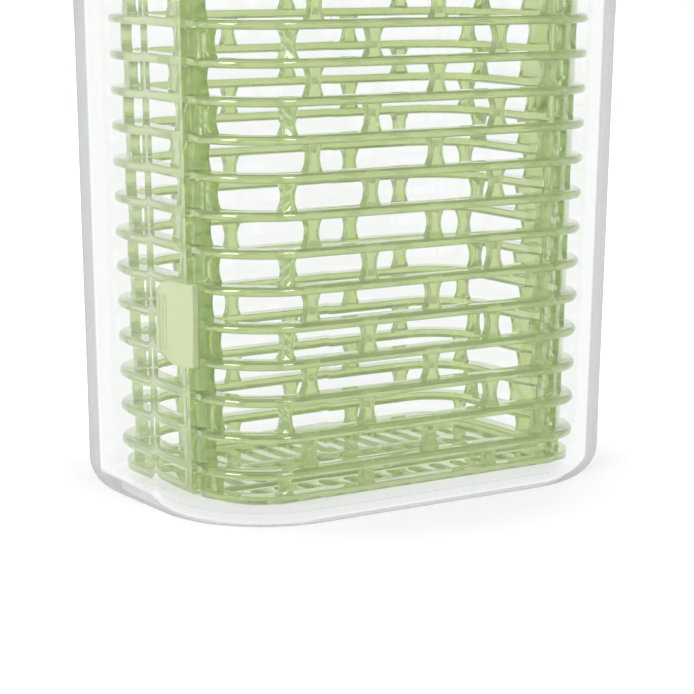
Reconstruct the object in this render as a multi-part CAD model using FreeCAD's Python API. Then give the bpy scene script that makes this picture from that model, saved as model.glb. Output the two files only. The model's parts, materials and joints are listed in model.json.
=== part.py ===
import FreeCAD, Part
import math
import os

# Herb keeper: a clear tapered container, a slotted basket in two halves that stands in it,
# and a press-on lid with a soft seal. Millimetres, Z up, the wide front face towards -Y.
# The origin is at the middle of the container's underside. Every upright wall leans outwards,
# and widths and radii are given at the table, as if the walls ran straight down to it.

V = FreeCAD.Vector

# Container
lean_degrees = 1.1
base_x = 145.4  # outside width
base_y = 98.6  # outside depth
base_corner = 36.0  # outside corner radius in plan
glass_wall = 3.0
glass_floor = 3.2
foot_round = 9.0  # outside rounding where wall meets floor
rim_ease = 0.8  # rounding of the rim's two edges
head_room = 11.05  # from the basket's top to the container's rim

# Basket
room_x = 8.1  # from the container's inside to the rings, if the basket stood in the middle
room_y = 8.25
basket_dx = 1.3  # the basket stands a little to the right in the container
basket_dy = -0.9  # and a little to the front
basket_corner = 20.0  # corner radius of the rings in plan
ring_pitch = 10.0
ring_thick = 2.5
ring_reach = 3.2  # how far a ring stands out from the wall
ring_count = 19
ring_first = 10.5  # from the container's floor to the lowest full ring's middle
foot_ring = 3.4  # from the container's floor to the middle of the shallow ring at the foot
foot_ring_reach = 1.9
wall = 3.0  # thickness of the basket's wall
basket_foot_round = 4.0
floor_thick = 2.4

# Posts between the slots of the basket's wall. Places are measured along the wall from the
# middle of the half's face, and the two kinds of row take turns going up.
post_width = 3.2  # where a post is narrowest
post_bulge = 1.1  # how far a slot's end bows into the post beside it
foot_bulge = 0.6  # the same in the low row at the foot
least_slot = 4.5
layout_height = 62.5  # height at which the wall's corners are measured for the layout
front_posts = ((-36.6, 2.8, 41.1), (-44.35, -18.35, 23.65, 48.25))
rear_posts = ((-67.6, -39.4, 0.0, 39.4, 67.6), (-62.35, -21.0, 21.0, 62.35))
front_ends = ((2.3, 22.8), (6.8, 14.6))  # plain wall from the last slots to the two seams
rear_ends = ((13.6, 13.6), (10.2, 10.2))

# Drain slots in the basket's floor
drain_width = 3.4
drain_pitch = 7.4
drain_margin = 2.2  # from the slots' ends to the rounding of the foot
drain_from_seam = 3.4
drain_rib = 3.6  # rib between the two rows of the rear half
least_drain = 6.0

# Seam between the basket's two halves, on the left and right sides
seam_gap = 0.15  # each half stops this far short of the seam
front_flange = 2.1  # width of the front half's upright edge strip
front_flange_sink = 1.2  # the strip lies this far behind the rings' rims
rear_flange = 3.8  # width of the rear half's upright edge bar, flush with the rings
ring_end_land = 0.9  # straight stretch of a front ring between its end and the corner
ring_end_round = 0.8

# Snap clip at the left seam
clip_low_ring = 3
clip_high_ring = 5
clip_gap = 0.3  # from the rings' rims to the tab
clip_thick = 2.2
clip_flare = 15.0  # degrees that the tab turns away from the basket
clip_root = 6.8  # from the seam to the tab's root
clip_arm = 3.0  # width of the arms that carry the tab
clip_arm_sink = 1.2  # how far the arms run into the rings
clip_tip = 0.3  # from the hooks to the tab's tip
clip_low_cut = (6.5, 3.5)  # sloping lower corner at the tip, along and up
clip_high_cut = (4.5, 3.1)  # rounded upper corner at the tip, along and down
grip_radius = 0.45
grip_pitch = 1.1
grip_count = 3
grip_margin = 1.2
hook_gap = 0.3  # behind the edge bar
hook_depth = 1.9
hook_nose = 0.4
hook_width = 1.8
hook_clear = 0.5  # to the rings above and below

# Snap hinge at the right seam
hinge_rows = (2, 9, 16)
hinge_rod = 1.5  # radius
hinge_sink = 0.3  # the rod lies this far behind the rings' rims
hinge_wrap = 1.5  # thickness of the hook around the rod
hinge_gap = 0.25
hinge_mouth = 2.1
hinge_room = 0.35  # around the hook, in the rear half
hinge_strap = 0.6  # how far the hook's strap runs into the front half

# Lid and seal
lid_plate = 3.0
lid_skirt = 2.0
lid_skirt_drop = 11.0
lid_gap = 0.5  # between the skirt and the container's outside
lid_round = 3.2
plug_gap = 1.6  # between the plug and the container's inside
plug_wall = 2.4
plug_drop = 8.0
seal_height = 3.4
seal_up = 1.6  # from the plug's lower edge to the seal
seal_bed = 1.2  # depth of the groove that holds the seal
seal_gap = 0.3  # between the seal's lips and the container's inside
lip_thick = 0.5  # at a lip's tip
lip_root = 1.2
lip_stand = 0.1  # the seal's body stands this far out of its groove

draft = math.tan(math.radians(lean_degrees))
basket_x = base_x - 2 * (glass_wall + room_x)
basket_y = base_y - 2 * (glass_wall + room_y)
basket_top = glass_floor + ring_first + ring_pitch * (ring_count - 1) + ring_thick / 2
basket_floor_top = glass_floor + floor_thick
rim_z = basket_top + head_room
glass_cx = base_x / 2 - base_corner
glass_cy = base_y / 2 - base_corner
ring_cx = basket_x / 2 - basket_corner
ring_cy = basket_y / 2 - basket_corner
seam_y = -(ring_cy - seam_gap - front_flange - ring_end_land)  # from the basket's own middle
half_diagonal = math.sqrt(0.5)


def line(a, b):
    return Part.LineSegment(a, b).toShape()


def arc(a, m, b):
    return Part.Arc(a, m, b).toShape()


def profile_face(points):
    """Closed face in the XZ plane. A point is (r, z), or (r, z, rm, zm) for an arc that ends
    at (r, z) and passes through (rm, zm)."""
    edges = []
    for a, b in zip(points, points[1:] + points[:1]):
        start = V(a[0], 0, a[1])
        end = V(b[0], 0, b[1])
        if len(b) > 2:
            edges.append(arc(start, V(b[2], 0, b[3]), end))
        elif start.distanceToPoint(end) > 1e-6:
            edges.append(line(start, end))
    return Part.Face(Part.Wire(edges))


def around(face, cx, cy):
    """Carry a section round a rounded rectangle whose corner axes stand at (+-cx, +-cy)."""
    pieces = []
    for sx, sy, start in ((1, 1, 0), (-1, 1, 90), (-1, -1, 180), (1, -1, 270)):
        corner = face.copy()
        corner.rotate(V(0, 0, 0), V(0, 0, 1), start)
        corner = corner.revolve(V(0, 0, 0), V(0, 0, 1), 90)
        corner.translate(V(sx * cx, sy * cy, 0))
        pieces.append(corner)
    for turn, half, off in ((0, cy, cx), (90, cx, cy), (180, cy, cx), (270, cx, cy)):
        side = face.extrude(V(0, 2 * half, 0))
        side.translate(V(off, -half, 0))
        side.rotate(V(0, 0, 0), V(0, 0, 1), turn)
        pieces.append(side)
    return pieces


def fuse(pieces):
    return pieces[0].multiFuse(pieces[1:]).removeSplitter()


def round_point(cx, cz, radius, degrees):
    a = math.radians(degrees)
    return cx + radius * math.cos(a), cz + radius * math.sin(a)


def centred_plate(cx, cy, z0, thick):
    return Part.makeBox(2 * cx, 2 * cy, thick, V(-cx, -cy, z0))


def container():
    foot_round_in = foot_round - glass_wall
    inner_foot_z = glass_floor + foot_round_in
    outer_foot = base_corner + draft * foot_round
    inner_foot = base_corner - glass_wall + draft * inner_foot_z
    top_out = base_corner + draft * rim_z
    top_in = top_out - glass_wall
    e = rim_ease
    k = e * (1 - half_diagonal)
    points = [
        (0, 0),
        (outer_foot - foot_round, 0),
        (outer_foot, foot_round) + round_point(outer_foot - foot_round, foot_round, foot_round, -45),
        (top_out, rim_z - e),
        (top_out - e, rim_z, top_out - k, rim_z - k),
        (top_in + e, rim_z),
        (top_in, rim_z - e, top_in + k, rim_z - k),
        (inner_foot, inner_foot_z),
        (inner_foot - foot_round_in, glass_floor)
        + round_point(inner_foot - foot_round_in, inner_foot_z, foot_round_in, -45),
        (0, glass_floor),
    ]
    pieces = around(profile_face(points), glass_cx, glass_cy)
    pieces.append(centred_plate(glass_cx, glass_cy, 0, glass_floor))
    return fuse(pieces)


def ring_middle(n):
    return glass_floor + ring_first + ring_pitch * n


def ring_radius(z):
    return basket_corner + draft * z


def wall_radius(z):
    return ring_radius(z) - ring_reach


layout_radius = wall_radius(layout_height)
layout_quarter = layout_radius * math.pi / 2
cut_clear = 1.8  # how far the slots' cutting blocks reach past the wall's two faces
cut_near = wall_radius(0) - wall - cut_clear
cut_far = wall_radius(basket_top) + cut_clear


def half_window(front):
    """Block that keeps one half of the basket."""
    big = base_x + rim_z
    y = seam_y - seam_gap - big if front else seam_y + seam_gap
    return Part.makeBox(2 * big, big, 2 * big, V(-big, y, -big))


def wall_shell():
    """Leaning basket wall, rounded in to the floor at its foot."""
    bend = basket_foot_round
    z = glass_floor + bend
    r = wall_radius(z)
    points = [
        (0, glass_floor),
        (r - bend, glass_floor),
        (r, z) + round_point(r - bend, z, bend, -45),
        (wall_radius(basket_top), basket_top),
        (wall_radius(basket_top) - wall, basket_top),
        (wall_radius(basket_floor_top) - wall, basket_floor_top),
        (0, basket_floor_top),
    ]
    pieces = around(profile_face(points), ring_cx, ring_cy)
    pieces.append(centred_plate(ring_cx, ring_cy, glass_floor, floor_thick))
    return fuse(pieces)


def place(s):
    """Corner-axis point and outward heading, in degrees from -Y, at s along the front wall."""
    side = 1 if s >= 0 else -1
    d = abs(s)
    if d <= ring_cx:
        return V(s, -ring_cy, 0), 0.0
    if d <= ring_cx + layout_quarter:
        return V(side * ring_cx, -ring_cy, 0), side * math.degrees((d - ring_cx) / layout_radius)
    return V(side * ring_cx, -ring_cy + (d - ring_cx - layout_quarter), 0), side * 90.0


def run_cutters(s0, s1, z0, z1):
    """Blocks that clear the wall from s0 to s1 along its run."""
    corner_end = ring_cx + layout_quarter
    stops = [s0] + [m for m in (-corner_end, -ring_cx, ring_cx, corner_end) if s0 < m < s1] + [s1]
    blocks = []
    for a, b in zip(stops[:-1], stops[1:]):
        middle = (a + b) / 2
        base, turn = place(middle)
        if ring_cx < abs(middle) < corner_end:
            block = profile_face([(cut_near, z0), (cut_far, z0), (cut_far, z1), (cut_near, z1)])
            block.rotate(V(0, 0, 0), V(0, 0, 1), place(a)[1] - 90)
            block = block.revolve(V(0, 0, 0), V(0, 0, 1), math.degrees((b - a) / layout_radius))
        else:
            block = Part.makeBox(b - a, cut_far - cut_near, z1 - z0, V((a - b) / 2, -cut_far, z0))
            block.rotate(V(0, 0, 0), V(0, 0, 1), turn)
        block.translate(base)
        blocks.append(block)
    return blocks


def end_cutter(s, z0, z1, towards, bulge, lap):
    """Bowed end of a slot at s. towards is 1 where the slot's body lies at smaller s."""
    base, turn = place(s)
    a = V(-towards * (bulge + lap), -cut_near, z0)
    b = V(-towards * bulge, -cut_near, z0)
    c = V(-towards * bulge, -cut_near, z1)
    d = V(-towards * (bulge + lap), -cut_near, z1)
    bow = arc(b, V(0, -cut_near, (z0 + z1) / 2), c)
    face = Part.Face(Part.Wire([line(a, b), bow, line(c, d), line(d, a)]))
    block = face.extrude(V(0, cut_near - cut_far, 0))
    block.rotate(V(0, 0, 0), V(0, 0, 1), turn)
    block.translate(base)
    return block


def slot(s0, s1, z0, z1, bulge):
    """One slot in the wall between s0 and s1, where the posts beside it are narrowest."""
    lap = bulge / 2
    blocks = run_cutters(s0 + bulge + lap / 2, s1 - bulge - lap / 2, z0, z1)
    blocks.append(end_cutter(s0, z0, z1, -1, bulge, lap))
    blocks.append(end_cutter(s1, z0, z1, 1, bulge, lap))
    return blocks[0].multiFuse(blocks[1:])


def row_spans(front, kind):
    """Ends of the slots in one row of one half."""
    posts = front_posts[kind] if front else rear_posts[kind]
    ends = front_ends[kind] if front else rear_ends[kind]
    to_seam = ring_cx + layout_quarter + ring_cy + (seam_y if front else -seam_y)
    low = ends[0] - to_seam
    high = to_seam - ends[1]
    starts = [low] + [max(low, p + post_width / 2) for p in posts]
    stops = [min(high, p - post_width / 2) for p in posts] + [high]
    return [(a, b) for a, b in zip(starts, stops) if b - a > least_slot]


def slotted_wall(front):
    """The wall of one half, row by row from ring to ring, with the floor in the lowest piece."""
    shell = wall_shell().common(half_window(front))
    levels = [glass_floor + foot_ring] + [ring_middle(n) for n in range(ring_count)]
    big = base_x + rim_z
    foot = Part.makeBox(2 * big, 2 * big, big, V(-big, -big, levels[0] - big))
    bands = [shell.common(foot).cut(floor_slots(front))]
    for n, (low, high) in enumerate(zip(levels, levels[1:])):
        kind = (n + 1) % 2
        bulge = post_bulge if n else foot_bulge
        cutters = []
        for s0, s1 in row_spans(front, kind):
            cutters.append(slot(s0, s1, low + ring_thick / 2, high - ring_thick / 2, bulge))
        if not front:
            for cutter in cutters:
                cutter.rotate(V(0, 0, 0), V(0, 0, 1), 180)
        slab = Part.makeBox(2 * big, 2 * big, high - low, V(-big, -big, low))
        bands.append(shell.common(slab).cut(cutters))
    top = Part.makeBox(2 * big, 2 * big, big, V(-big, -big, levels[-1]))
    bands.append(shell.common(top))
    return bands


def ring_plan(z, front, reach):
    """Plan outline of one ring of a half, from the middle of the wall out to the rim. Both
    halves are drawn with their face towards -Y."""
    rim = wall_radius(z) + reach
    core = wall_radius(z) - wall / 2
    if front:
        end = seam_y - seam_gap - front_flange
        e = min(ring_end_round, ring_end_land)
    else:
        end = -(seam_y + seam_gap + rear_flange / 2)
        e = 0
    hx = ring_cx + rim
    hy = ring_cy + rim
    ix = ring_cx + core
    iy = ring_cy + core
    out = ring_cx + rim * half_diagonal
    out_y = ring_cy + rim * half_diagonal
    inn = ring_cx + core * half_diagonal
    inn_y = ring_cy + core * half_diagonal
    k = e * (1 - half_diagonal)
    edges = [line(V(-ix, end, 0), V(-hx + e, end, 0))]
    if e:
        edges.append(arc(V(-hx + e, end, 0), V(-hx + k, end - k, 0), V(-hx, end - e, 0)))
    edges.append(line(V(-hx, end - e, 0), V(-hx, -ring_cy, 0)))
    edges.append(arc(V(-hx, -ring_cy, 0), V(-out, -out_y, 0), V(-ring_cx, -hy, 0)))
    edges.append(line(V(-ring_cx, -hy, 0), V(ring_cx, -hy, 0)))
    edges.append(arc(V(ring_cx, -hy, 0), V(out, -out_y, 0), V(hx, -ring_cy, 0)))
    edges.append(line(V(hx, -ring_cy, 0), V(hx, end - e, 0)))
    if e:
        edges.append(arc(V(hx, end - e, 0), V(hx - k, end - k, 0), V(hx - e, end, 0)))
    edges.append(line(V(hx - e, end, 0), V(ix, end, 0)))
    edges.append(line(V(ix, end, 0), V(ix, -ring_cy, 0)))
    edges.append(arc(V(ix, -ring_cy, 0), V(inn, -inn_y, 0), V(ring_cx, -iy, 0)))
    edges.append(line(V(ring_cx, -iy, 0), V(-ring_cx, -iy, 0)))
    edges.append(arc(V(-ring_cx, -iy, 0), V(-inn, -inn_y, 0), V(-ix, -ring_cy, 0)))
    edges.append(line(V(-ix, -ring_cy, 0), V(-ix, end, 0)))
    return Part.Face(Part.Wire(edges))


def rings(front):
    levels = [(ring_middle(n), ring_reach) for n in range(ring_count)]
    levels.append((glass_floor + foot_ring, foot_ring_reach))
    solids = []
    for z, reach in levels:
        ring = ring_plan(z, front, reach).extrude(V(0, 0, ring_thick))
        ring.translate(V(0, 0, z - ring_thick / 2))
        solids.append(ring)
    return solids


def edge_bar(side, y0, y1, sink):
    """Upright strip along a seam, leaning with the wall, from y0 to y1."""
    corners = []
    for z, outside in ((glass_floor + basket_foot_round, (False, True)), (basket_top, (True, False))):
        for out in outside:
            r = ring_radius(z) - sink if out else wall_radius(z) - wall / 2
            corners.append(V(side * (ring_cx + r), y0, z))
    section = Part.Face(Part.makePolygon(corners + corners[:1]))
    return section.extrude(V(0, y1 - y0, 0))


def floor_slots(front):
    """Drain slots in the basket's floor."""
    r = drain_width / 2
    inset = wall_radius(glass_floor) - basket_foot_round - drain_margin
    depth = 3 * floor_thick
    z0 = glass_floor - floor_thick
    rib = (seam_y + drain_from_seam + ring_cy + inset) / 2
    count = int((ring_cx + inset) / drain_pitch)
    cutters = []
    for k in range(-count, count + 1):
        x = k * drain_pitch
        past = max(0, abs(x) - ring_cx)
        reach = ring_cy + math.sqrt(inset ** 2 - past ** 2)
        if front:
            spans = ((-reach, seam_y - drain_from_seam),)
        else:
            spans = ((seam_y + drain_from_seam, rib - drain_rib / 2), (rib + drain_rib / 2, reach))
        for y0, y1 in spans:
            if y1 - y0 < least_drain:
                continue
            bar = Part.makeBox(drain_width, y1 - y0 - 2 * r, depth, V(x - r, y0 + r, z0))
            ends = [Part.makeCylinder(r, depth, V(x, y, z0)) for y in (y0 + r, y1 - r)]
            cutters.append(fuse([bar] + ends))
    return cutters


def clip():
    """Snap clip of the front half: a tab carried by three of its rings that flares away from
    them, runs past the seam and hooks in behind the rear half's edge bar."""
    z0 = ring_middle(clip_low_ring) - ring_thick / 2
    z1 = ring_middle(clip_high_ring) + ring_thick / 2
    face_x = -(ring_cx + ring_radius(z1) + clip_gap)
    y_root = seam_y - clip_root
    hook_y = seam_y + seam_gap + rear_flange + hook_gap
    flare = math.radians(clip_flare)
    length = (hook_y + hook_width + clip_tip - y_root) / math.cos(flare)
    low_along, low_up = clip_low_cut
    high_along, high_down = clip_high_cut
    k = 1 - half_diagonal
    outline = [
        line(V(0, 0, z0), V(0, length - low_along, z0)),
        line(V(0, length - low_along, z0), V(0, length, z0 + low_up)),
        line(V(0, length, z0 + low_up), V(0, length, z1 - high_down)),
        arc(V(0, length, z1 - high_down), V(0, length - high_along * k, z1 - high_down * k),
            V(0, length - high_along, z1)),
        line(V(0, length - high_along, z1), V(0, 0, z1)),
        line(V(0, 0, z1), V(0, 0, z0)),
    ]
    tab = [Part.Face(Part.Wire(outline)).extrude(V(-clip_thick, 0, 0))]
    for i in range(grip_count):
        y = length - grip_margin - i * grip_pitch
        low = z0 + low_up + grip_radius
        high = z1 - high_down - grip_radius
        tab.append(Part.makeCylinder(grip_radius, high - low, V(-clip_thick, y, low)))
    for piece in tab:
        piece.rotate(V(0, 0, 0), V(0, 0, 1), clip_flare)
        piece.translate(V(face_x, y_root, 0))

    arms = []
    wedge = math.tan(flare) * clip_arm + clip_thick / 5
    for n in range(clip_low_ring, clip_high_ring + 1):
        z = ring_middle(n) - ring_thick / 2
        depth = wedge + clip_gap + clip_arm_sink + draft * (z1 - z)
        arms.append(Part.makeBox(depth, clip_arm, ring_thick, V(face_x - wedge, y_root, z)))

    hooks = []
    rim = face_x + clip_gap
    root_in = clip_thick / 3
    for n in range(clip_low_ring, clip_high_ring):
        low = ring_middle(n) + ring_thick / 2 + hook_clear
        high = ring_middle(n + 1) - ring_thick / 2 - hook_clear
        back = hook_y + hook_width
        near = face_x - math.tan(flare) * (hook_y - y_root) - root_in
        far = face_x - math.tan(flare) * (back - y_root) - root_in
        corners = [V(near, hook_y, low), V(rim + hook_depth, hook_y, low),
                   V(rim + hook_nose, back, low), V(far, back, low)]
        hook = Part.Face(Part.makePolygon(corners + corners[:1]))
        hooks.append(hook.extrude(V(0, 0, high - low)))
    return tab + arms + hooks


def add_hinges(front, rear):
    """Snap hinge: rods of the rear half, each standing between two of its rings in a pocket of
    the edge bar, and open hooks of the front half around them."""
    bore_r = hinge_rod + hinge_gap
    hook_r = bore_r + hinge_wrap
    room = hook_r + hinge_room
    bar_y = seam_y + seam_gap
    strip_y = seam_y - seam_gap
    wraps = []
    for n in hinge_rows:
        z0 = ring_middle(n) + ring_thick / 2
        height = ring_pitch - ring_thick
        x = ring_cx + ring_radius(z0 + height / 2) - hinge_rod - hinge_sink
        y = bar_y + rear_flange / 2
        pocket = Part.makeBox(2 * room, y + room - strip_y, height, V(x - room, strip_y, z0))
        rear = rear.cut(pocket).fuse(Part.makeCylinder(hinge_rod, height, V(x, y, z0)))
        low = z0 + hinge_gap
        tall = height - 2 * hinge_gap
        outer = Part.makeCylinder(hook_r, tall, V(x, y, low))
        strap = Part.makeBox(hinge_wrap + hinge_strap, y - strip_y + hinge_strap, tall,
                             V(x - hook_r, strip_y - hinge_strap, low))
        bore = Part.makeCylinder(bore_r, height, V(x, y, z0))
        mouth = Part.makeBox(2 * hook_r, hinge_mouth, height, V(x, y - hinge_mouth / 2, z0))
        wraps.append(outer.fuse(strap).cut(bore).cut(mouth))
    return front.multiFuse(wraps), rear


def basket_halves():
    strip_y = seam_y - seam_gap
    bar_y = seam_y + seam_gap
    pieces = slotted_wall(True) + rings(True) + clip()
    for side in (-1, 1):
        pieces.append(edge_bar(side, strip_y - front_flange, strip_y, front_flange_sink))
    front = pieces[0].multiFuse(pieces[1:])

    pieces = slotted_wall(False)
    for side in (-1, 1):
        pieces.append(edge_bar(side, bar_y, bar_y + rear_flange, 0.0))
    for ring in rings(False):
        ring.rotate(V(0, 0, 0), V(0, 0, 1), 180)
        pieces.append(ring)
    rear = pieces[0].multiFuse(pieces[1:])

    front, rear = add_hinges(front, rear)
    for half in (front, rear):
        half.translate(V(basket_dx, basket_dy, 0))
    return front, rear


def plug_radius():
    return base_corner + draft * rim_z - glass_wall - plug_gap


def lid():
    skirt_in = base_corner + draft * rim_z + lid_gap
    skirt_out = skirt_in + lid_skirt
    plug_out = plug_radius()
    plug_in = plug_out - plug_wall
    low = rim_z - plug_drop
    bed_low = low + seal_up
    bed_high = bed_low + seal_height
    top = rim_z + lid_plate
    r = min(lid_round, lid_plate + lid_skirt_drop / 2)
    points = [
        (0, rim_z),
        (plug_in, rim_z),
        (plug_in, low),
        (plug_out, low),
        (plug_out, bed_low),
        (plug_out - seal_bed, bed_low),
        (plug_out - seal_bed, bed_high),
        (plug_out, bed_high),
        (plug_out, rim_z),
        (skirt_in, rim_z),
        (skirt_in, rim_z - lid_skirt_drop),
        (skirt_out, rim_z - lid_skirt_drop),
        (skirt_out, top - r),
        (skirt_out - r, top) + round_point(skirt_out - r, top - r, r, 45),
        (0, top),
    ]
    pieces = around(profile_face(points), glass_cx, glass_cy)
    pieces.append(centred_plate(glass_cx, glass_cy, rim_z, lid_plate))
    return fuse(pieces)


def lid_seal():
    """Soft ring with two lips, held in the plug's groove."""
    low = rim_z - plug_drop + seal_up
    high = low + seal_height
    back = plug_radius() - seal_bed
    body = plug_radius() + lip_stand
    tip = base_corner + draft * low - glass_wall - seal_gap
    points = [
        (back, low),
        (body, low),
        (tip, low + lip_root - lip_thick),
        (tip, low + lip_root),
        (body, low + lip_root),
        (body, high - lip_root),
        (tip, high - lip_thick),
        (tip, high),
        (body, high),
        (back, high),
    ]
    return fuse(around(profile_face(points), glass_cx, glass_cy))


def main():
    os.makedirs("parts", exist_ok=True)
    front, rear = basket_halves()
    nodes = {
        "container": container(),
        "basket_front": front,
        "basket_rear": rear,
        "lid": lid(),
        "lid_seal": lid_seal(),
    }
    for name, shape in nodes.items():
        if len(shape.Solids) == 1:
            shape = shape.Solids[0]
        shape.exportStep("parts/" + name + ".step")
        box = shape.BoundBox
        print(name, "solids", len(shape.Solids), "valid", shape.isValid(),
              "box", round(box.XMin, 2), round(box.YMin, 2), round(box.ZMin, 2),
              round(box.XMax, 2), round(box.YMax, 2), round(box.ZMax, 2),
              "volume", round(shape.Volume))


main()
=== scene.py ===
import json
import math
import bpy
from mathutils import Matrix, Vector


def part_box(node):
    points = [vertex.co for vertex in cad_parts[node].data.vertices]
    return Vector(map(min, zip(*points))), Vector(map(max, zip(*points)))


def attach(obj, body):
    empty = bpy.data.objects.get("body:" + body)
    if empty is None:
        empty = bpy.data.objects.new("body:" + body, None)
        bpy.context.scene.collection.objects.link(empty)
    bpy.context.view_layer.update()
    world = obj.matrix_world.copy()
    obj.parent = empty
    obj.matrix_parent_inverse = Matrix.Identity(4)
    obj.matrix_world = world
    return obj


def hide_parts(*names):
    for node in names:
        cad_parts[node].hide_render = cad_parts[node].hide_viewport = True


bl_info = {
    "name": "Herb Keeper",
    "version": (1, 0, 0),
    "blender": (4, 5, 0),
    "location": "3D View > Sidebar > Herb Keeper",
    "description": "Finishes a clear herb keeper with its slotted basket, press-on lid and soft seal",
    "category": "Object",
}

import bpy
from mathutils import Matrix, Vector

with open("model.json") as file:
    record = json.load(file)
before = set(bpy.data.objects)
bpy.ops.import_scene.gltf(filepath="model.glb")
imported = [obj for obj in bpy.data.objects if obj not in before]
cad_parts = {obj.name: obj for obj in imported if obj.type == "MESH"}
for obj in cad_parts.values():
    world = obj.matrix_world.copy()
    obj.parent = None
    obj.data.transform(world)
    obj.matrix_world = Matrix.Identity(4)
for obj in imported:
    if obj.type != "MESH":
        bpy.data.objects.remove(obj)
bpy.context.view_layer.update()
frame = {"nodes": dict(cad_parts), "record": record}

MM = 0.001

# Vertices nearer to each other than this are one vertex
SAME_PLACE = 0.01 * MM

# Angles between faces: within one flat face, at an edge that a mould rounds, and across faces
# that shade as one on the moulded copies and on the turned container
FLAT_ANGLE = math.radians(0.6)
MOULDED_ANGLE = math.radians(35)
COPY_SMOOTH_ANGLE = math.radians(40)
SHELL_SMOOTH_ANGLE = math.radians(30)

# Light goes straight on through clear plastic after more bounces than this
MOST_BOUNCES = 5.5

WHITE = (1.0, 1.0, 1.0)


# Sizes and colours that a user would change

class KeeperSizes(bpy.types.PropertyGroup):
    lean: bpy.props.FloatProperty(
        name="Lean", description="How far the upright walls lean outwards",
        default=math.radians(1.1), subtype="ANGLE")
    corner_steps: bpy.props.IntProperty(
        name="Corner steps", description="Facets in each rounded corner of the container",
        default=20, min=4)
    foot_steps: bpy.props.IntProperty(
        name="Foot steps", description="Facets in the outside rounding of the container's foot",
        default=10, min=2)
    inner_steps: bpy.props.IntProperty(
        name="Inner steps", description="Facets in the inside rounding of the container's foot",
        default=8, min=2)
    rim_steps: bpy.props.IntProperty(
        name="Rim steps", description="Facets in each rounding of the container's rim",
        default=4, min=2)
    edge_steps: bpy.props.IntProperty(
        name="Edge steps", description="Facets in each rounded edge of the moulded pieces",
        default=3, min=1)
    base_x: bpy.props.FloatProperty(
        name="Container width", description="Outside width of the container at the table",
        default=145.4 * MM, unit="LENGTH")
    base_y: bpy.props.FloatProperty(
        name="Container depth", description="Outside depth of the container at the table",
        default=98.6 * MM, unit="LENGTH")
    base_corner: bpy.props.FloatProperty(
        name="Container corner", description="Outside corner radius of the container at the table",
        default=36.0 * MM, unit="LENGTH")
    clear_wall: bpy.props.FloatProperty(
        name="Container wall", description="Thickness of the container's wall",
        default=3.0 * MM, unit="LENGTH")
    clear_floor: bpy.props.FloatProperty(
        name="Container floor", description="Thickness of the container's floor",
        default=3.2 * MM, unit="LENGTH")
    foot_round: bpy.props.FloatProperty(
        name="Foot rounding", description="Outside rounding where the container's wall meets its floor",
        default=9.0 * MM, unit="LENGTH")
    rim_ease: bpy.props.FloatProperty(
        name="Rim rounding", description="Rounding of the container's rim",
        default=0.8 * MM, unit="LENGTH")
    axis_gap: bpy.props.FloatProperty(
        name="Axis gap", description="How near the container's turned section comes to its corner axes",
        default=1.0 * MM, unit="LENGTH")
    basket_edge: bpy.props.FloatProperty(
        name="Basket edge", description="Rounding of the basket's outer edges, apart from its rings' rims",
        default=0.34 * MM, unit="LENGTH")
    ring_edge: bpy.props.FloatProperty(
        name="Ring edge", description="Rounding of the rims of the basket's rings",
        default=1.1 * MM, unit="LENGTH")
    ring_reach: bpy.props.FloatProperty(
        name="Ring reach", description="How far from the rings' outline an edge still counts as their rim",
        default=0.08 * MM, unit="LENGTH")
    seam_zone: bpy.props.FloatVectorProperty(
        name="Seam zone", description="Front and back of the parts beside the seams, whose edges stay sharp",
        size=2, default=(-19.5 * MM, -9.0 * MM), unit="LENGTH")
    ring_corner: bpy.props.FloatProperty(
        name="Ring corner", description="Corner radius of the basket's rings at the table",
        default=20.0 * MM, unit="LENGTH")
    ring_axis: bpy.props.FloatVectorProperty(
        name="Ring axes", description="Where the corner axes of the rings stand, from the basket's middle",
        size=2, default=(41.6 * MM, 18.05 * MM), unit="LENGTH")
    basket_place: bpy.props.FloatVectorProperty(
        name="Basket place", description="The basket's middle, from the container's middle",
        size=2, default=(1.3 * MM, -0.9 * MM), unit="LENGTH")
    clip_reach: bpy.props.FloatProperty(
        name="Clip reach", description="How far left the rings reach at the height of the clip",
        default=62.0 * MM, unit="LENGTH")
    clip_top: bpy.props.FloatProperty(
        name="Clip top", description="Height that the clip stays below",
        default=70.0 * MM, unit="LENGTH")
    lid_edge: bpy.props.FloatProperty(
        name="Lid edge", description="Rounding of the lid's outer edges",
        default=0.35 * MM, unit="LENGTH")
    seal_edge: bpy.props.FloatProperty(
        name="Seal edge", description="Rounding of the seal's outer edges",
        default=0.12 * MM, unit="LENGTH")


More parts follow.
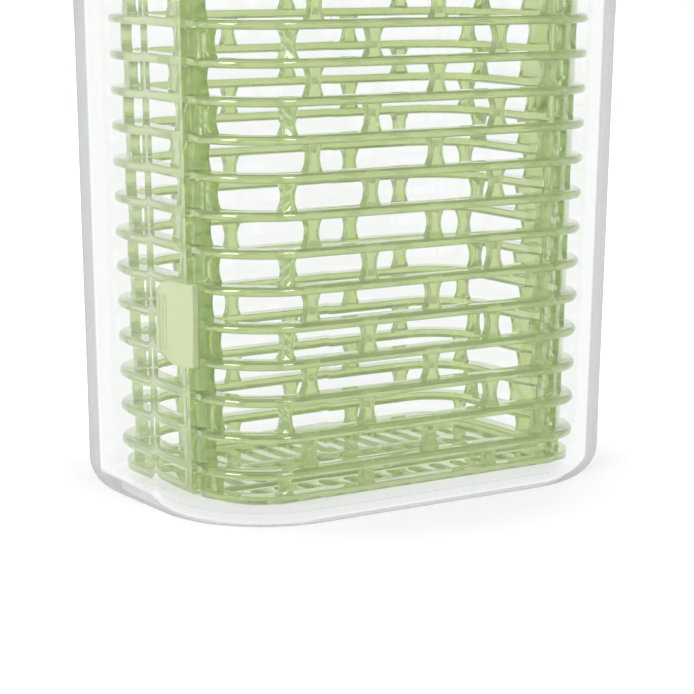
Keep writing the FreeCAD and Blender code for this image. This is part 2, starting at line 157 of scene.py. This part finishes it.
class KeeperColours(bpy.types.PropertyGroup):
    basket: bpy.props.FloatVectorProperty(
        name="Basket", description="Colour of the basket's translucent plastic",
        subtype="COLOR", size=3, default=(0.66, 0.77, 0.34))
    basket_glow: bpy.props.FloatVectorProperty(
        name="Basket glow", description="Colour of the light that comes through the basket's plastic",
        subtype="COLOR", size=3, default=(0.70, 0.84, 0.46))
    clip: bpy.props.FloatVectorProperty(
        name="Clip", description="Colour of the clip's frosted tab",
        subtype="COLOR", size=3, default=(0.73, 0.79, 0.49))
    # Painted shade: the basket's colour is darkened towards this where its plastic is seen edge on
    basket_edge_shade: bpy.props.FloatVectorProperty(
        name="Basket edges", description="Colour of the basket's plastic where it is seen edge on",
        subtype="COLOR", size=3, default=(0.36, 0.43, 0.28))
    clear: bpy.props.FloatVectorProperty(
        name="Container", description="Tint of the container's clear plastic",
        subtype="COLOR", size=3, default=(0.975, 0.985, 0.982))
    # Painted shade: the container's walls grey towards this where they are seen edge on
    clear_edge_shade: bpy.props.FloatVectorProperty(
        name="Container edge", description="Grey of the container's walls where they are seen edge on",
        subtype="COLOR", size=3, default=(0.52, 0.54, 0.55))
    lid: bpy.props.FloatVectorProperty(
        name="Lid", description="Colour of the lid",
        subtype="COLOR", size=3, default=(0.80, 0.81, 0.79))
    seal: bpy.props.FloatVectorProperty(
        name="Seal", description="Colour of the soft seal",
        subtype="COLOR", size=3, default=(0.70, 0.74, 0.70))


class KeeperStage(bpy.types.PropertyGroup):
    camera_place: bpy.props.FloatVectorProperty(
        name="Camera place", description="Where the camera stands",
        subtype="TRANSLATION", size=3, default=(-0.35863, -0.54556, 0.15695))
    azimuth: bpy.props.FloatProperty(
        name="Azimuth", description="Direction the camera looks in, from +Y towards +X",
        default=0.5815, subtype="ANGLE")
    tilt: bpy.props.FloatProperty(
        name="Tilt", description="How far the camera looks down",
        default=0.1795, subtype="ANGLE")
    roll: bpy.props.FloatProperty(
        name="Roll", description="Turn of the camera about its own line of sight",
        default=0.0037, subtype="ANGLE")
    sensor: bpy.props.FloatProperty(
        name="Sensor", description="Width of the camera's sensor in millimetres", default=36.0)
    lens: bpy.props.FloatProperty(
        name="Lens", description="Focal length of the camera in millimetres", default=118.17)
    floor_size: bpy.props.FloatProperty(
        name="Floor", description="Side of the floor", default=6.0, unit="LENGTH")
    lamp_target: bpy.props.FloatVectorProperty(
        name="Lamp target", description="The point that both lamps shine at",
        subtype="TRANSLATION", size=3, default=(0.0, 0.0, 0.1))
    key_place: bpy.props.FloatVectorProperty(
        name="Key lamp place", description="Where the key lamp stands, on the left",
        subtype="TRANSLATION", size=3, default=(-0.95, -0.2, 0.5))
    key_size: bpy.props.FloatProperty(
        name="Key lamp size", description="Side of the key lamp", default=0.4, unit="LENGTH")
    key_power: bpy.props.FloatProperty(
        name="Key lamp power", description="Power of the key lamp", default=5.0, unit="POWER")
    fill_place: bpy.props.FloatVectorProperty(
        name="Fill lamp place", description="Where the fill lamp stands, high up in front",
        subtype="TRANSLATION", size=3, default=(0.15, -1.05, 0.75))
    fill_size: bpy.props.FloatProperty(
        name="Fill lamp size", description="Side of the fill lamp", default=0.32, unit="LENGTH")
    fill_power: bpy.props.FloatProperty(
        name="Fill lamp power", description="Power of the fill lamp", default=3.5, unit="POWER")
    room_light: bpy.props.FloatProperty(
        name="Room light", description="Strength of the even light from all round", default=0.42)


# Shader expressions

class Wire:
    """A shader socket that takes part in Python expressions."""

    def __init__(self, maker, socket):
        self.maker = maker
        self.socket = socket

    def _math(self, operation, a, b):
        return self.maker.make("ShaderNodeMath", {"operation": operation}, {0: a, 1: b})

    def __add__(self, other):
        return self._math("ADD", self, other)

    def __radd__(self, other):
        return self._math("ADD", other, self)

    def __mul__(self, other):
        return self._math("MULTIPLY", self, other)

    def __rmul__(self, other):
        return self._math("MULTIPLY", other, self)


class Maker:
    """Builds the nodes of one material or world."""

    def __init__(self, owner):
        owner.use_nodes = True
        self.owner = owner
        self.tree = owner.node_tree
        self.tree.nodes.clear()

    def make(self, kind, settings=None, inputs=None, out=0):
        """A node with its settings and then its sockets' values or links, known by one output."""
        node = self.tree.nodes.new(kind)
        for name, value in (settings or {}).items():
            if name == "stops":
                self._stops(node, value)
            else:
                setattr(node, name, value)
        for name, value in (inputs or {}).items():
            if isinstance(value, Wire):
                self.tree.links.new(value.socket, node.inputs[name])
            else:
                node.inputs[name].default_value = value
        if len(node.outputs) == 0:
            return None
        return Wire(self, node.outputs[out])

    def _stops(self, node, stops):
        elements = node.color_ramp.elements
        while len(elements) < len(stops):
            elements.new(1.0)
        for element, (position, grey) in zip(elements, stops):
            element.position = position
            element.color = (grey, grey, grey, 1.0)

    def place(self):
        """Where the point stands in the keeper's frame."""
        return self.make("ShaderNodeTexCoord", out="Object")

    def axis(self, vector, name):
        return self.make("ShaderNodeSeparateXYZ", None, {0: vector}, out=name)

    def ray(self, name):
        """What kind of ray sees the point, or how often it has bounced."""
        return self.make("ShaderNodeLightPath", out=name)

    def facing(self):
        """0 where the surface faces whoever sees it, and 1 where it is edge on."""
        return self.make("ShaderNodeLayerWeight", None, {"Blend": 0.5}, out="Facing")

    def noise(self, vector, scale, detail=2.0):
        return self.make("ShaderNodeTexNoise", None, {"Vector": vector, "Scale": scale, "Detail": detail})

    def bump(self, height, strength, depth):
        return self.make("ShaderNodeBump", None, {"Strength": strength, "Distance": depth, "Height": height})

    def ramp(self, value, stops):
        """Greys between stops, each a value with its grey."""
        return self.make("ShaderNodeValToRGB", {"stops": stops}, {"Fac": value})

    def either(self, a, b):
        return self.make("ShaderNodeMath", {"operation": "MAXIMUM"}, {0: a, 1: b})

    def below(self, a, b):
        return self.make("ShaderNodeMath", {"operation": "LESS_THAN"}, {0: a, 1: b})

    def mix_colour(self, factor, a, b):
        """Mix's colour sockets share their names with others, so they are known by number."""
        return self.make("ShaderNodeMix", {"data_type": "RGBA"}, {0: factor, 6: a, 7: b}, out=2)

    def mix_shader(self, factor, a, b):
        return self.make("ShaderNodeMixShader", None, {0: factor, 1: a, 2: b})

    def see_through(self, colour, shade=1.0):
        return self.make("ShaderNodeBsdfTransparent", None, {"Color": solid(colour, shade)})

    def let_go(self, surface, colour):
        """Light that has bounced about inside clear plastic for long goes straight on."""
        late = self.below(MOST_BOUNCES, self.ray("Ray Depth"))
        return self.mix_shader(late, surface, self.see_through(colour))

    def finish(self, surface, output="ShaderNodeOutputMaterial"):
        self.make(output, None, {"Surface": surface})
        return self.owner


def solid(colour, shade=1.0):
    """A colour, made lighter or darker by shade, as a socket takes it."""
    return tuple(shade * c for c in colour) + (1.0,)


def basket_plastic(colours, sizes):
    """Glossy tinted plastic, partly clear and partly cloudy, with a fine uneven skin, and painted shade
    that darkens it where it is seen edge on. The clip's tab is frosted: it alone stands out from the
    rings at its height."""
    # Where the painted shade starts and how dark it gets, by how edge on the surface is
    edge_shade_stops = ((0.86, 0.0), (0.97, 0.7))
    cloudy = 0.11
    cloudier_tab = 0.14
    dull_tab = 0.5
    m = Maker(bpy.data.materials.new("basket_plastic"))
    place = m.place()
    cloud = m.noise(place, 60.0)
    tab = m.below(m.axis(place, "X"), -sizes.clip_reach) * m.below(m.axis(place, "Z"), sizes.clip_top)
    tone = m.mix_colour(cloud, solid(colours.basket, 0.96), solid(colours.basket, 1.03))
    # Painted shade: the colour darkens where the plastic is seen edge on
    tone = m.mix_colour(m.ramp(m.facing(), edge_shade_stops), tone, solid(colours.basket_edge_shade))
    tone = m.mix_colour(tab, tone, solid(colours.clip))
    clear = m.make("ShaderNodeBsdfPrincipled", None, {
        "Base Color": tone, "Roughness": 0.02 + 0.04 * cloud + 0.4 * tab, "IOR": 1.53,
        "Transmission Weight": 0.94, "Coat Weight": 1.0, "Coat Roughness": 0.02, "Coat IOR": 1.55,
        "Normal": m.bump(m.noise(place, 260.0), 0.05, 0.2 * MM)})
    glow = m.make("ShaderNodeBsdfTranslucent", None, {"Color": solid(colours.basket_glow)})
    frost = m.make("ShaderNodeBsdfPrincipled", None, {
        "Base Color": solid(colours.clip), "Roughness": 0.35 + 0.1 * cloud})
    seen = m.mix_shader(cloudy + cloudier_tab * tab, clear, glow)
    seen = m.mix_shader(dull_tab * tab, seen, frost)
    return m.finish(m.let_go(seen, colours.basket))


def clear_plastic(name, colours, painted_grey_edges):
    """Polished clear plastic that lets lamps through. Where asked, it is covered with a painted grey
    shade where its wall is seen edge on."""
    # Where the painted grey shade starts and how far it covers, by how edge on the wall is
    band = ((0.585, 0.0), (0.61, 0.46), (0.85, 0.52), (0.97, 0.7))
    lamp_share = 0.94
    m = Maker(bpy.data.materials.new(name))
    haze = m.noise(m.place(), 35.0)
    seen = m.make("ShaderNodeBsdfPrincipled", None, {
        "Base Color": solid(colours.clear), "Roughness": 0.004 + 0.012 * haze, "IOR": 1.49,
        "Transmission Weight": 1.0})
    if painted_grey_edges:
        # Painted shade: a grey sheet over the wall where it is seen edge on
        seen = m.mix_shader(m.ramp(m.facing(), band), seen, m.see_through(colours.clear_edge_shade))
    seen = m.mix_shader(m.ray("Is Shadow Ray"), seen, m.see_through(colours.clear, lamp_share))
    return m.finish(m.let_go(seen, colours.clear))


def lid_plastic(colours):
    """Opaque moulded plastic with a fine satin grain."""
    m = Maker(bpy.data.materials.new("lid_plastic"))
    place = m.place()
    cloud = m.noise(place, 30.0)
    return m.finish(m.make("ShaderNodeBsdfPrincipled", None, {
        "Base Color": m.mix_colour(cloud, solid(colours.lid, 0.97), solid(colours.lid, 1.02)),
        "Roughness": 0.30 + 0.08 * cloud, "IOR": 1.49,
        "Normal": m.bump(m.noise(place, 1400.0, 3.0), 0.12, 0.3 * MM)}))


def soft_silicone(colours):
    """Cloudy silicone with a dull skin."""
    m = Maker(bpy.data.materials.new("soft_silicone"))
    place = m.place()
    cloud = m.noise(place, 60.0)
    return m.finish(m.make("ShaderNodeBsdfPrincipled", None, {
        "Base Color": m.mix_colour(cloud, solid(colours.seal, 0.95), solid(colours.seal, 1.04)),
        "Roughness": 0.5 + 0.1 * cloud,
        "Normal": m.bump(m.noise(place, 700.0), 0.1, 0.3 * MM)}))


# Modelling helpers

def deselect():
    if bpy.context.object and bpy.context.object.mode != "OBJECT":
        bpy.ops.object.mode_set(mode="OBJECT")
    bpy.ops.object.select_all(action="DESELECT")


def pick(piece):
    deselect()
    piece.select_set(True)
    bpy.context.view_layer.objects.active = piece


def select_vertices(piece, test):
    """Select, in edit mode, the vertices whose place passes the test."""
    bpy.ops.object.mode_set(mode="OBJECT")
    for polygon in piece.data.polygons:
        polygon.select = False
    for edge in piece.data.edges:
        edge.select = False
    for vertex in piece.data.vertices:
        vertex.select = test(vertex.co)
    bpy.ops.object.mode_set(mode="EDIT")
    bpy.ops.mesh.select_mode(type="VERT")


def arc_points(cx, cz, radius, start, end, steps):
    """Points on an arc from start to end, in degrees, both ends included."""
    points = []
    for i in range(steps + 1):
        a = math.radians(start + (end - start) * i / steps)
        points.append((cx + radius * math.cos(a), cz + radius * math.sin(a)))
    return points


def turned_shell(name, profile, cx, cy, steps):
    """A shell whose section is carried round a rounded rectangle with its corner axes at
    (+-cx, +-cy): the section is spun about the middle, and then each quarter moves out to its
    corner. The spin starts half a step off the axes, so that no vertex stands between two
    quarters. The section ends near the middle, and its two ends are closed by flat faces."""
    count = 4 * steps
    half_step = math.pi / count
    along = Vector((math.cos(half_step), math.sin(half_step), 0.0))
    places = [along * r + Vector((0, 0, z)) for r, z in profile]
    deselect()
    bpy.ops.mesh.primitive_plane_add(size=MM, location=(0, 0, 0))
    piece = bpy.context.object
    piece.name = name
    piece.data.name = name
    bpy.ops.object.mode_set(mode="EDIT")
    # The section grows from one vertex
    bpy.ops.mesh.select_all(action="SELECT")
    bpy.ops.mesh.merge(type="CENTER")
    bpy.ops.transform.translate(value=places[0])
    for before, after in zip(places, places[1:]):
        bpy.ops.mesh.extrude_region_move(TRANSFORM_OT_translate={"value": after - before})
    bpy.ops.mesh.select_all(action="SELECT")
    bpy.ops.mesh.spin(steps=count, angle=math.tau, center=(0, 0, 0), axis=(0, 0, 1))
    bpy.ops.mesh.select_all(action="SELECT")
    bpy.ops.mesh.remove_doubles(threshold=SAME_PLACE)
    for sx in (-1, 1):
        select_vertices(piece, lambda co: co.x * sx > 0)
        bpy.ops.transform.translate(value=(sx * cx, 0, 0))
    for sy in (-1, 1):
        select_vertices(piece, lambda co: co.y * sy > 0)
        bpy.ops.transform.translate(value=(0, sy * cy, 0))
    for r, z in (profile[0], profile[-1]):
        reach = (cx + 2 * r, cy + 2 * r)
        select_vertices(piece, lambda co: abs(co.z - z) < SAME_PLACE
                        and abs(co.x) < reach[0] and abs(co.y) < reach[1])
        bpy.ops.mesh.edge_face_add()
    bpy.ops.mesh.select_all(action="SELECT")
    bpy.ops.mesh.normals_make_consistent(inside=False)
    bpy.ops.object.mode_set(mode="OBJECT")
    return piece


def shade(piece, angle):
    """Shade faces up to an angle as one, while the large ones keep their own normals, so that
    they show straight reflections."""
    pick(piece)
    bpy.ops.object.shade_smooth_by_angle(angle=angle)
    level = piece.modifiers.new("flat_faces", "WEIGHTED_NORMAL")
    level.keep_sharp = True
    bpy.ops.object.modifier_apply(modifier=level.name)


def body_of(node):
    """The body that carries a node."""
    bodies = frame["record"]["behaviour"]["bodies"]
    return next(body for body, nodes in bodies.items() if node in nodes)


def dress(piece, material, node):
    """Give a finished piece its material and its place in the frame."""
    piece.data.materials.clear()
    piece.data.materials.append(material)
    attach(piece, body_of(node))
    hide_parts(node)


def joined_copy(node):
    """A copy of a solid with its facets joined up into the faces that they stand for."""
    source = frame["nodes"][node]
    piece = source.copy()
    piece.data = source.data.copy()
    piece.name = node + "_moulded"
    piece.parent = None
    for key in list(piece.keys()):
        del piece[key]
    bpy.context.scene.collection.objects.link(piece)
    pick(piece)
    bpy.ops.object.mode_set(mode="EDIT")
    bpy.ops.mesh.select_all(action="SELECT")
    bpy.ops.mesh.remove_doubles(threshold=SAME_PLACE)
    bpy.ops.mesh.dissolve_limited(angle_limit=FLAT_ANGLE)
    bpy.ops.mesh.quads_convert_to_tris(quad_method="BEAUTY", ngon_method="BEAUTY")
    bpy.ops.mesh.normals_make_consistent(inside=False)
    bpy.ops.object.mode_set(mode="OBJECT")
    return piece


def weigh_outer_edges(piece, weight_at):
    """Give the edges that stand out a bevel weight, which weight_at tells from their two ends."""
    bpy.ops.object.mode_set(mode="EDIT")
    bpy.ops.mesh.select_all(action="DESELECT")
    bpy.ops.mesh.select_mode(type="EDGE")
    bpy.ops.mesh.edges_select_sharp(sharpness=MOULDED_ANGLE)
    bpy.ops.object.mode_set(mode="OBJECT")
    sides = {}
    for polygon in piece.data.polygons:
        for key in polygon.edge_keys:
            sides.setdefault(key, []).append(polygon)
    weight = piece.data.attributes.new("bevel_weight_edge", "FLOAT", "EDGE")
    for item in piece.data.edges:
        if item.select:
            one, other = sides[item.key]
            if one.normal.dot(other.center - one.center) < 0:
                ends = [piece.data.vertices[i].co for i in item.vertices]
                weight.data[item.index].value = weight_at(ends)


def moulded_copy(node, edge, steps, edge_at=None):
    """A copy of a solid with its outer edges rounded as a mould leaves them: by edge at the most,
    and by what edge_at gives for the two ends of each edge."""
    piece = joined_copy(node)
    weigh_outer_edges(piece, lambda ends: edge_at(ends) / edge if edge_at else 1.0)
    bevel = piece.modifiers.new("edge", "BEVEL")
    bevel.width = edge
    bevel.segments = steps
    bevel.limit_method = "WEIGHT"
    bevel.use_clamp_overlap = False
    bevel.loop_slide = False
    bpy.ops.object.modifier_apply(modifier=bevel.name)
    shade(piece, COPY_SMOOTH_ANGLE)
    return piece


# Pieces

class KEEPER_OT_container(bpy.types.Operator):
    """Turn the clear container with its rounded foot and eased rim"""
    bl_idname = "keeper.container"
    bl_label = "Container"

    def execute(self, context):
        s = context.scene.keeper_sizes
        lean = math.tan(s.lean)
        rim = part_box("container")[1].z
        cx = s.base_x / 2 - s.base_corner
        cy = s.base_y / 2 - s.base_corner
        inner_round = s.foot_round - s.clear_wall
        inner_height = s.clear_floor + inner_round
        outer = s.base_corner + lean * s.foot_round
        inner = s.base_corner - s.clear_wall + lean * inner_height
        top = s.base_corner + lean * rim
        ease = s.rim_ease
        profile = [(s.axis_gap, 0.0), (outer - s.foot_round, 0.0)]
        profile += arc_points(outer - s.foot_round, s.foot_round, s.foot_round, -90, 0, s.foot_steps)[1:]
        profile += arc_points(top - ease, rim - ease, ease, 0, 90, s.rim_steps)
        profile += arc_points(top - s.clear_wall + ease, rim - ease, ease, 90, 180, s.rim_steps)
        profile += arc_points(inner - inner_round, inner_height, inner_round, 0, -90, s.inner_steps)
        profile += [(s.axis_gap, s.clear_floor)]
        piece = turned_shell("container_shell", profile, cx, cy, s.corner_steps)
        shade(piece, SHELL_SMOOTH_ANGLE)
        colours = context.scene.keeper_colours
        # The outside carries the painted grey shade where it is seen edge on
        dress(piece, clear_plastic("clear_outside", colours, True), "container")
        piece.data.materials.append(clear_plastic("clear_inside", colours, False))
        # Faces above the underside that don't turn away from the corner axes are the inside
        least_turn = 0.02
        for polygon in piece.data.polygons:
            middle = polygon.center
            axis = Vector((max(-cx, min(cx, middle.x)), max(-cy, min(cy, middle.y)), middle.z))
            away = middle - axis
            if middle.z > s.clear_floor / 2 and polygon.normal.dot(away) < least_turn * away.length:
                polygon.material_index = 1
        return {"FINISHED"}


class KEEPER_OT_basket(bpy.types.Operator):
    """Round the moulded edges of the basket's two slotted halves"""
    bl_idname = "keeper.basket"
    bl_label = "Basket"

    def execute(self, context):
        s = context.scene.keeper_sizes
        lean = math.tan(s.lean)

        def at_rim(co):
            x = max(0.0, abs(co.x - s.basket_place[0]) - s.ring_axis[0])
            y = max(0.0, abs(co.y - s.basket_place[1]) - s.ring_axis[1])
            return abs(math.hypot(x, y) - s.ring_corner - lean * co.z) < s.ring_reach

        def at_seam(co):
            return abs(co.x) > s.ring_axis[0] and s.seam_zone[0] < co.y < s.seam_zone[1]

        def edge_at(ends):
            beside = [at_seam(co) for co in ends]
            if all(beside):
                return 0.0
            if all(at_rim(co) for co in ends) and not any(beside):
                return s.ring_edge
            return s.basket_edge

        plastic = basket_plastic(context.scene.keeper_colours, s)
        for node in ("basket_front", "basket_rear"):
            piece = moulded_copy(node, s.ring_edge, s.edge_steps, edge_at)
            dress(piece, plastic, node)
        return {"FINISHED"}


class KEEPER_OT_lid(bpy.types.Operator):
    """Round the lid's edges and give it its satin plastic"""
    bl_idname = "keeper.lid"
    bl_label = "Lid"

    def execute(self, context):
        s = context.scene.keeper_sizes
        piece = moulded_copy("lid", s.lid_edge, s.edge_steps)
        dress(piece, lid_plastic(context.scene.keeper_colours), "lid")
        return {"FINISHED"}


class KEEPER_OT_seal(bpy.types.Operator):
    """Round the soft seal's edges and give it its silicone"""
    bl_idname = "keeper.seal"
    bl_label = "Seal"

    def execute(self, context):
        s = context.scene.keeper_sizes
        piece = moulded_copy("lid_seal", s.seal_edge, s.edge_steps)
        dress(piece, soft_silicone(context.scene.keeper_colours), "lid_seal")
        return {"FINISHED"}


# Stage

def floor_material():
    """Floor that looks white and keeps a soft shadow near the object. What the eye sees of it is
    a mix of its own light and of what falls on it, and its own light's share grows with the
    distance from the object. Gloss and clear plastic see through it to the room."""
    own_share = ((0.06, 0.4), (0.15, 1.0))
    own_light = 1.33
    pale = 0.9
    m = Maker(bpy.data.materials.new("floor"))
    own = m.make("ShaderNodeEmission", None, {"Color": solid(WHITE), "Strength": own_light})
    lit = m.make("ShaderNodeBsdfDiffuse", None, {"Color": solid(WHITE, pale)})
    away = m.make("ShaderNodeVectorMath", {"operation": "LENGTH"}, {0: m.place()}, out="Value")
    floor = m.mix_shader(m.ramp(away, own_share) * m.ray("Is Camera Ray"), lit, own)
    shown = m.either(m.ray("Is Glossy Ray"), m.ray("Is Transmission Ray"))
    return m.finish(m.mix_shader(shown, floor, m.see_through(WHITE)))


def room_world(strength):
    """Even light from all round. The eye sees it white, and so do gloss and clear plastic at the
    level of the object and straight above, while it shows them less further down and least high
    up at the sides."""
    shades = ((0.0, 0.85), (0.15, 0.85), (0.30, 1.0), (0.66, 1.0), (0.76, 0.32), (0.90, 0.32), (0.96, 1.0))
    m = Maker(bpy.data.worlds.new("room"))
    heading = m.make("ShaderNodeTexCoord", out="Generated")
    rise = 0.5 + 0.5 * m.axis(heading, "Z")
    light = m.make("ShaderNodeBackground", None, {"Color": solid(WHITE), "Strength": strength})
    gloss = m.make("ShaderNodeBackground", None, {"Color": m.ramp(rise, shades), "Strength": 1.0})
    backdrop = m.make("ShaderNodeBackground", None, {"Color": solid(WHITE), "Strength": 1.0})
    shown = m.either(m.ray("Is Glossy Ray"), m.ray("Is Transmission Ray"))
    room = m.mix_shader(m.ray("Is Camera Ray"), m.mix_shader(shown, light, gloss), backdrop)
    bpy.context.scene.world = m.finish(room, "ShaderNodeOutputWorld")


def lamp(name, place, target, size, power):
    """A square soft lamp that shines at a point."""
    data = bpy.data.lights.new(name, "AREA")
    data.energy = power
    data.size = size
    item = bpy.data.objects.new(name, data)
    bpy.context.scene.collection.objects.link(item)
    item.location = place
    item.rotation_euler = (Vector(target) - Vector(place)).to_track_quat("-Z", "Y").to_euler()


def camera_at(stage):
    """The camera at the place and angles of the photograph."""
    data = bpy.data.cameras.new("camera")
    data.sensor_width = stage.sensor
    data.lens = stage.lens
    data.clip_start = 10 * MM
    camera = bpy.data.objects.new("camera", data)
    bpy.context.scene.collection.objects.link(camera)
    turn = (Matrix.Rotation(-stage.azimuth, 4, "Z") @ Matrix.Rotation(math.pi / 2 - stage.tilt, 4, "X")
            @ Matrix.Rotation(stage.roll, 4, "Z"))
    camera.matrix_world = Matrix.Translation(Vector(stage.camera_place)) @ turn
    bpy.context.scene.camera = camera


class KEEPER_OT_stage(bpy.types.Operator):
    """Set up the floor, the soft lamps, the room light and the camera"""
    bl_idname = "keeper.stage"
    bl_label = "Stage"

    def execute(self, context):
        stage = context.scene.keeper_stage
        deselect()
        bpy.ops.mesh.primitive_plane_add(size=stage.floor_size, location=(0, 0, 0))
        floor = context.object
        floor.name = "floor"
        floor.data.materials.append(floor_material())
        room_world(stage.room_light)
        lamp("key", stage.key_place, stage.lamp_target, stage.key_size, stage.key_power)
        lamp("fill", stage.fill_place, stage.lamp_target, stage.fill_size, stage.fill_power)
        camera_at(stage)
        context.scene.view_settings.view_transform = "Standard"
        return {"FINISHED"}


class KEEPER_PT_panel(bpy.types.Panel):
    """Lists the keeper's pieces, sizes, colours and stage"""
    bl_label = "Herb Keeper"
    bl_idname = "KEEPER_PT_panel"
    bl_space_type = "VIEW_3D"
    bl_region_type = "UI"
    bl_category = "Herb Keeper"

    def draw(self, context):
        column = self.layout.column()
        for operator in OPERATORS:
            column.operator(operator.bl_idname)
        for group in (context.scene.keeper_sizes, context.scene.keeper_colours, context.scene.keeper_stage):
            for name in group.__annotations__:
                column.prop(group, name)


GROUPS = {"keeper_sizes": KeeperSizes, "keeper_colours": KeeperColours, "keeper_stage": KeeperStage}
OPERATORS = (KEEPER_OT_container, KEEPER_OT_basket, KEEPER_OT_lid, KEEPER_OT_seal, KEEPER_OT_stage)


def register():
    for name, group in GROUPS.items():
        bpy.utils.register_class(group)
        setattr(bpy.types.Scene, name, bpy.props.PointerProperty(type=group))
    for operator in OPERATORS:
        bpy.utils.register_class(operator)
    bpy.utils.register_class(KEEPER_PT_panel)


def unregister():
    bpy.utils.unregister_class(KEEPER_PT_panel)
    for operator in reversed(OPERATORS):
        bpy.utils.unregister_class(operator)
    for name, group in GROUPS.items():
        delattr(bpy.types.Scene, name)
        bpy.utils.unregister_class(group)


def main():
    register()
    bpy.ops.keeper.container()
    bpy.ops.keeper.basket()
    bpy.ops.keeper.lid()
    bpy.ops.keeper.seal()
    bpy.ops.keeper.stage()


if __name__ == "__main__":
    main()
